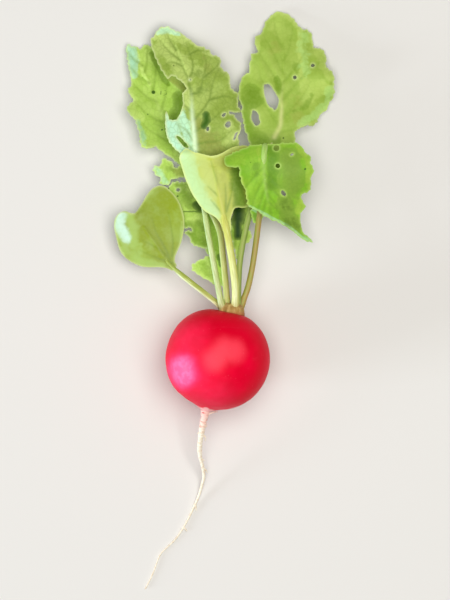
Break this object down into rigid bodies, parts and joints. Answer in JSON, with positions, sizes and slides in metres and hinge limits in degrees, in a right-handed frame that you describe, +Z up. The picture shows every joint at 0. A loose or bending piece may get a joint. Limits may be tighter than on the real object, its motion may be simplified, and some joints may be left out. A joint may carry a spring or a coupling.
{
  "type": "radish with leaves and taproot",
  "caption": "Round red radish lying on a surface, with a long pale taproot, a woody crown, lobed worm-eaten green leaves and smooth heart-shaped seed leaves on slender stalks.",
  "frame": {"origin": "middle of the small flat spot under the round root, on the surface that the radish lies on", "axes": "+Y along the plant from root towards the leaves, +X to the right seen from above, +Z up from the surface"},
  "size_m": [0.0731, 0.1917, 0.0337],
  "materials": {
    "red_skin": "smooth moist radish skin, red, with a soft waxy gloss",
    "root_skin": "cream root skin with a pink neck and fine cross wrinkles, matte",
    "crown_skin": "dry tan corky crown, matte",
    "true_leaf": "fresh veined leaf, yellow green, satin, with pale stalk and midrib",
    "seed_leaf": "smooth thick seed leaf, yellow green, satin with a waxy bloom"
  },
  "bodies": {
    "root": {"bulb": "red_skin", "taproot": "root_skin", "crown": "crown_skin", "leaf_lower_left": "true_leaf", "leaf_upper_left": "true_leaf", "leaf_upper_right": "true_leaf", "leaf_right_folded": "true_leaf", "seed_leaf_middle": "seed_leaf", "seed_leaf_left": "seed_leaf"}
  },
  "joints": []
}
